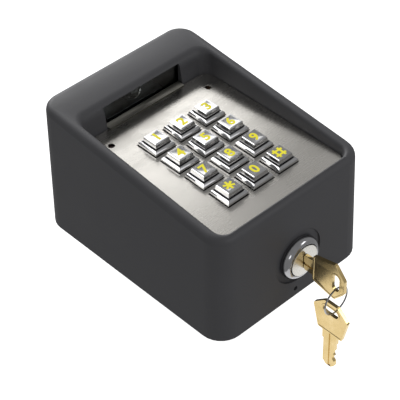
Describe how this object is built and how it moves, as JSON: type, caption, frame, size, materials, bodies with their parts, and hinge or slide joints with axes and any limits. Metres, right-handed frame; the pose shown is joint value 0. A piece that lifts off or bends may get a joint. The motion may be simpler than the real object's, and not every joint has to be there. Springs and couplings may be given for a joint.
{
  "type": "keypad access reader",
  "caption": "Outdoor keypad access reader: cast housing with a hooded sloping rim, steel faceplate with push keys, courtesy lamp, cam lock with keys, back plate and boards.",
  "frame": {"origin": "middle of the back face, on the gasket's underside", "axes": "+X to the right of the keypad, +Y towards the hood end, +Z out of the wall, from the back face to the keys"},
  "size_m": [0.1066, 0.1752, 0.1168],
  "materials": {
    "powder_coated_casting": "dark grey fine-texture powder coat, satin",
    "brushed_stainless": "fine brushed stainless steel",
    "chrome_plate": "satin chrome plate on a zinc casting",
    "zinc_plated_steel": "bright zinc plate",
    "key_brass": "plain stamped brass",
    "black_rubber": "matte",
    "green_board": "green solder mask on glass-fibre board",
    "black_nylon": "moulded, matte",
    "relay_blue": "moulded, semi-gloss",
    "terminal_green": "moulded, matte",
    "clear_polycarbonate": "clear, polished",
    "bulb_glass": "frosted bulb",
    "indicator_red": "unlit red epoxy",
    "indicator_amber": "unlit amber epoxy",
    "white_nylon": "moulded, matte"
  },
  "bodies": {
    "base": {"mounting_gasket": "black_rubber", "back_plate": "zinc_plated_steel", "cable_grommet": "black_rubber", "lock_catch": "zinc_plated_steel"},
    "housing": {"housing": "powder_coated_casting", "faceplate": "brushed_stainless", "lamp_deflector": "brushed_stainless", "keypad_frame": "chrome_plate", "switch_mat": "black_rubber", "keypad_board": "green_board", "indicator_left": "indicator_red", "indicator_right": "indicator_amber", "lamp_window": "clear_polycarbonate", "lamp_bulb": "bulb_glass", "lamp_socket": "black_nylon", "lamp_bracket": "zinc_plated_steel", "lock_body": "chrome_plate", "lock_nut": "zinc_plated_steel", "main_board": "green_board", "relay_1": "relay_blue", "relay_2": "relay_blue", "terminal_block": "terminal_green", "board_connector": "black_nylon", "buzzer": "black_nylon", "tamper_switch": "black_nylon", "standoff_1": "zinc_plated_steel", "board_screw_1": "zinc_plated_steel", "standoff_2": "zinc_plated_steel", "board_screw_2": "zinc_plated_steel", "standoff_3": "zinc_plated_steel", "board_screw_3": "zinc_plated_steel", "standoff_4": "zinc_plated_steel", "board_screw_4": "zinc_plated_steel"},
    "push_key_1": {"key_1": "chrome_plate"},
    "push_key_2": {"key_2": "chrome_plate"},
    "push_key_3": {"key_3": "chrome_plate"},
    "push_key_4": {"key_4": "chrome_plate"},
    "push_key_5": {"key_5": "chrome_plate"},
    "push_key_6": {"key_6": "chrome_plate"},
    "push_key_7": {"key_7": "chrome_plate"},
    "push_key_8": {"key_8": "chrome_plate"},
    "push_key_9": {"key_9": "chrome_plate"},
    "push_key_star": {"key_star": "chrome_plate"},
    "push_key_0": {"key_0": "chrome_plate"},
    "push_key_hash": {"key_hash": "chrome_plate"},
    "plug": {"lock_plug": "chrome_plate", "lock_cam": "zinc_plated_steel", "cam_nut": "zinc_plated_steel"},
    "inserted_key": {"lock_key": "key_brass"},
    "ring": {"key_ring": "zinc_plated_steel"},
    "hanging_key": {"spare_key": "key_brass"},
    "plunger": {"tamper_plunger": "white_nylon"}
  },
  "joints": [
    {"name": "housing_open", "type": "hinge", "parent": "base", "child": "housing", "pos_m": [0, 0.06985, 0], "axis": [-1, 0, 0], "range_deg": [0, 70]},
    {"name": "key_1_press", "type": "slide", "parent": "housing", "child": "push_key_1", "axis": [0, 0, -1], "range_m": [0, 0.0012], "stiffness_N_per_m": 600, "springref_m": -0.0012},
    {"name": "key_2_press", "type": "slide", "parent": "housing", "child": "push_key_2", "axis": [0, 0, -1], "range_m": [0, 0.0012], "stiffness_N_per_m": 600, "springref_m": -0.0012},
    {"name": "key_3_press", "type": "slide", "parent": "housing", "child": "push_key_3", "axis": [0, 0, -1], "range_m": [0, 0.0012], "stiffness_N_per_m": 600, "springref_m": -0.0012},
    {"name": "key_4_press", "type": "slide", "parent": "housing", "child": "push_key_4", "axis": [0, 0, -1], "range_m": [0, 0.0012], "stiffness_N_per_m": 600, "springref_m": -0.0012},
    {"name": "key_5_press", "type": "slide", "parent": "housing", "child": "push_key_5", "axis": [0, 0, -1], "range_m": [0, 0.0012], "stiffness_N_per_m": 600, "springref_m": -0.0012},
    {"name": "key_6_press", "type": "slide", "parent": "housing", "child": "push_key_6", "axis": [0, 0, -1], "range_m": [0, 0.0012], "stiffness_N_per_m": 600, "springref_m": -0.0012},
    {"name": "key_7_press", "type": "slide", "parent": "housing", "child": "push_key_7", "axis": [0, 0, -1], "range_m": [0, 0.0012], "stiffness_N_per_m": 600, "springref_m": -0.0012},
    {"name": "key_8_press", "type": "slide", "parent": "housing", "child": "push_key_8", "axis": [0, 0, -1], "range_m": [0, 0.0012], "stiffness_N_per_m": 600, "springref_m": -0.0012},
    {"name": "key_9_press", "type": "slide", "parent": "housing", "child": "push_key_9", "axis": [0, 0, -1], "range_m": [0, 0.0012], "stiffness_N_per_m": 600, "springref_m": -0.0012},
    {"name": "key_star_press", "type": "slide", "parent": "housing", "child": "push_key_star", "axis": [0, 0, -1], "range_m": [0, 0.0012], "stiffness_N_per_m": 600, "springref_m": -0.0012},
    {"name": "key_0_press", "type": "slide", "parent": "housing", "child": "push_key_0", "axis": [0, 0, -1], "range_m": [0, 0.0012], "stiffness_N_per_m": 600, "springref_m": -0.0012},
    {"name": "key_hash_press", "type": "slide", "parent": "housing", "child": "push_key_hash", "axis": [0, 0, -1], "range_m": [0, 0.0012], "stiffness_N_per_m": 600, "springref_m": -0.0012},
    {"name": "plug_turn", "type": "hinge", "parent": "housing", "child": "plug", "pos_m": [0.003, -0.07397, 0.0265], "axis": [0, -1, 0], "range_deg": [0, 90]},
    {"name": "key_withdraw", "type": "slide", "parent": "plug", "child": "inserted_key", "axis": [0, -1, 0], "range_m": [0, 0.026]},
    {"name": "ring_swing", "type": "hinge", "parent": "inserted_key", "child": "ring", "pos_m": [0.003, -0.09627, 0.02205], "axis": [1, 0, 0], "range_deg": [-25, 6]},
    {"name": "spare_key_swing", "type": "hinge", "parent": "ring", "child": "hanging_key", "pos_m": [0.003, -0.09627, 0.00545], "axis": [1, 0, 0], "range_deg": [-35, 10]},
    {"name": "tamper_press", "type": "slide", "parent": "housing", "child": "plunger", "axis": [0, 0, 1], "range_m": [0, 0.0015], "stiffness_N_per_m": 300, "springref_m": -0.001}
  ]
}
